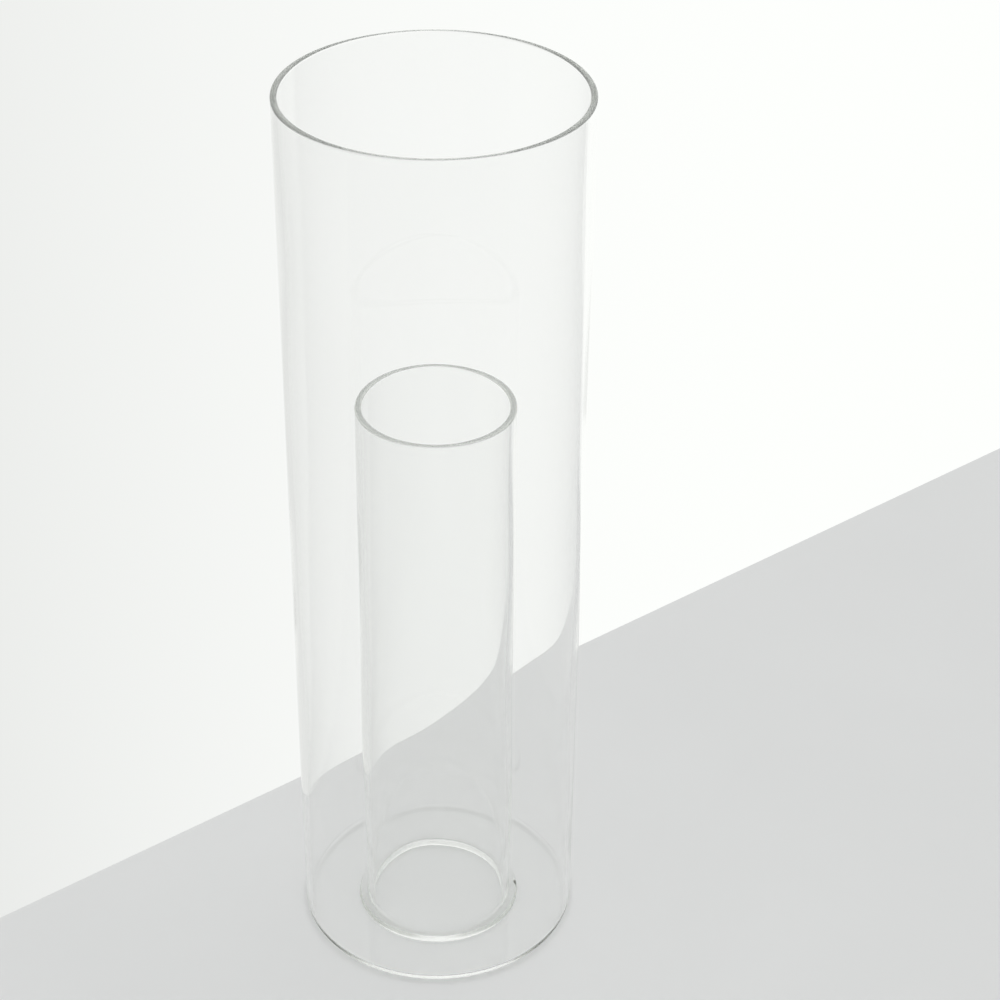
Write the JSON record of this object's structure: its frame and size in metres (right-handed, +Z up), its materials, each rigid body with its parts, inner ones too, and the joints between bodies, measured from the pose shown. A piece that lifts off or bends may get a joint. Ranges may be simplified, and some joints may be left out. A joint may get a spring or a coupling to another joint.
{
  "type": "double glass cylinder vase",
  "caption": "Tall open glass cylinder vase with a shorter open glass tube standing upright in its middle, bonded to the vessel's floor by a clear round bead.",
  "frame": {"origin": "middle of the flat underside that the vase stands on", "axes": "+Z up along the common axis of vessel and tube; the vase is round, so X and Y are free"},
  "size_m": [0.123, 0.123, 0.4],
  "materials": {
    "outer_glass": "clear polished vessel glass with a rounded rim and heel",
    "inner_glass": "clear polished tube glass with a rounded rim",
    "bond": "clear cured bond, glossy"
  },
  "bodies": {
    "root": {"outer_vessel": "outer_glass", "inner_tube": "inner_glass", "foot_bead": "bond"}
  },
  "joints": []
}
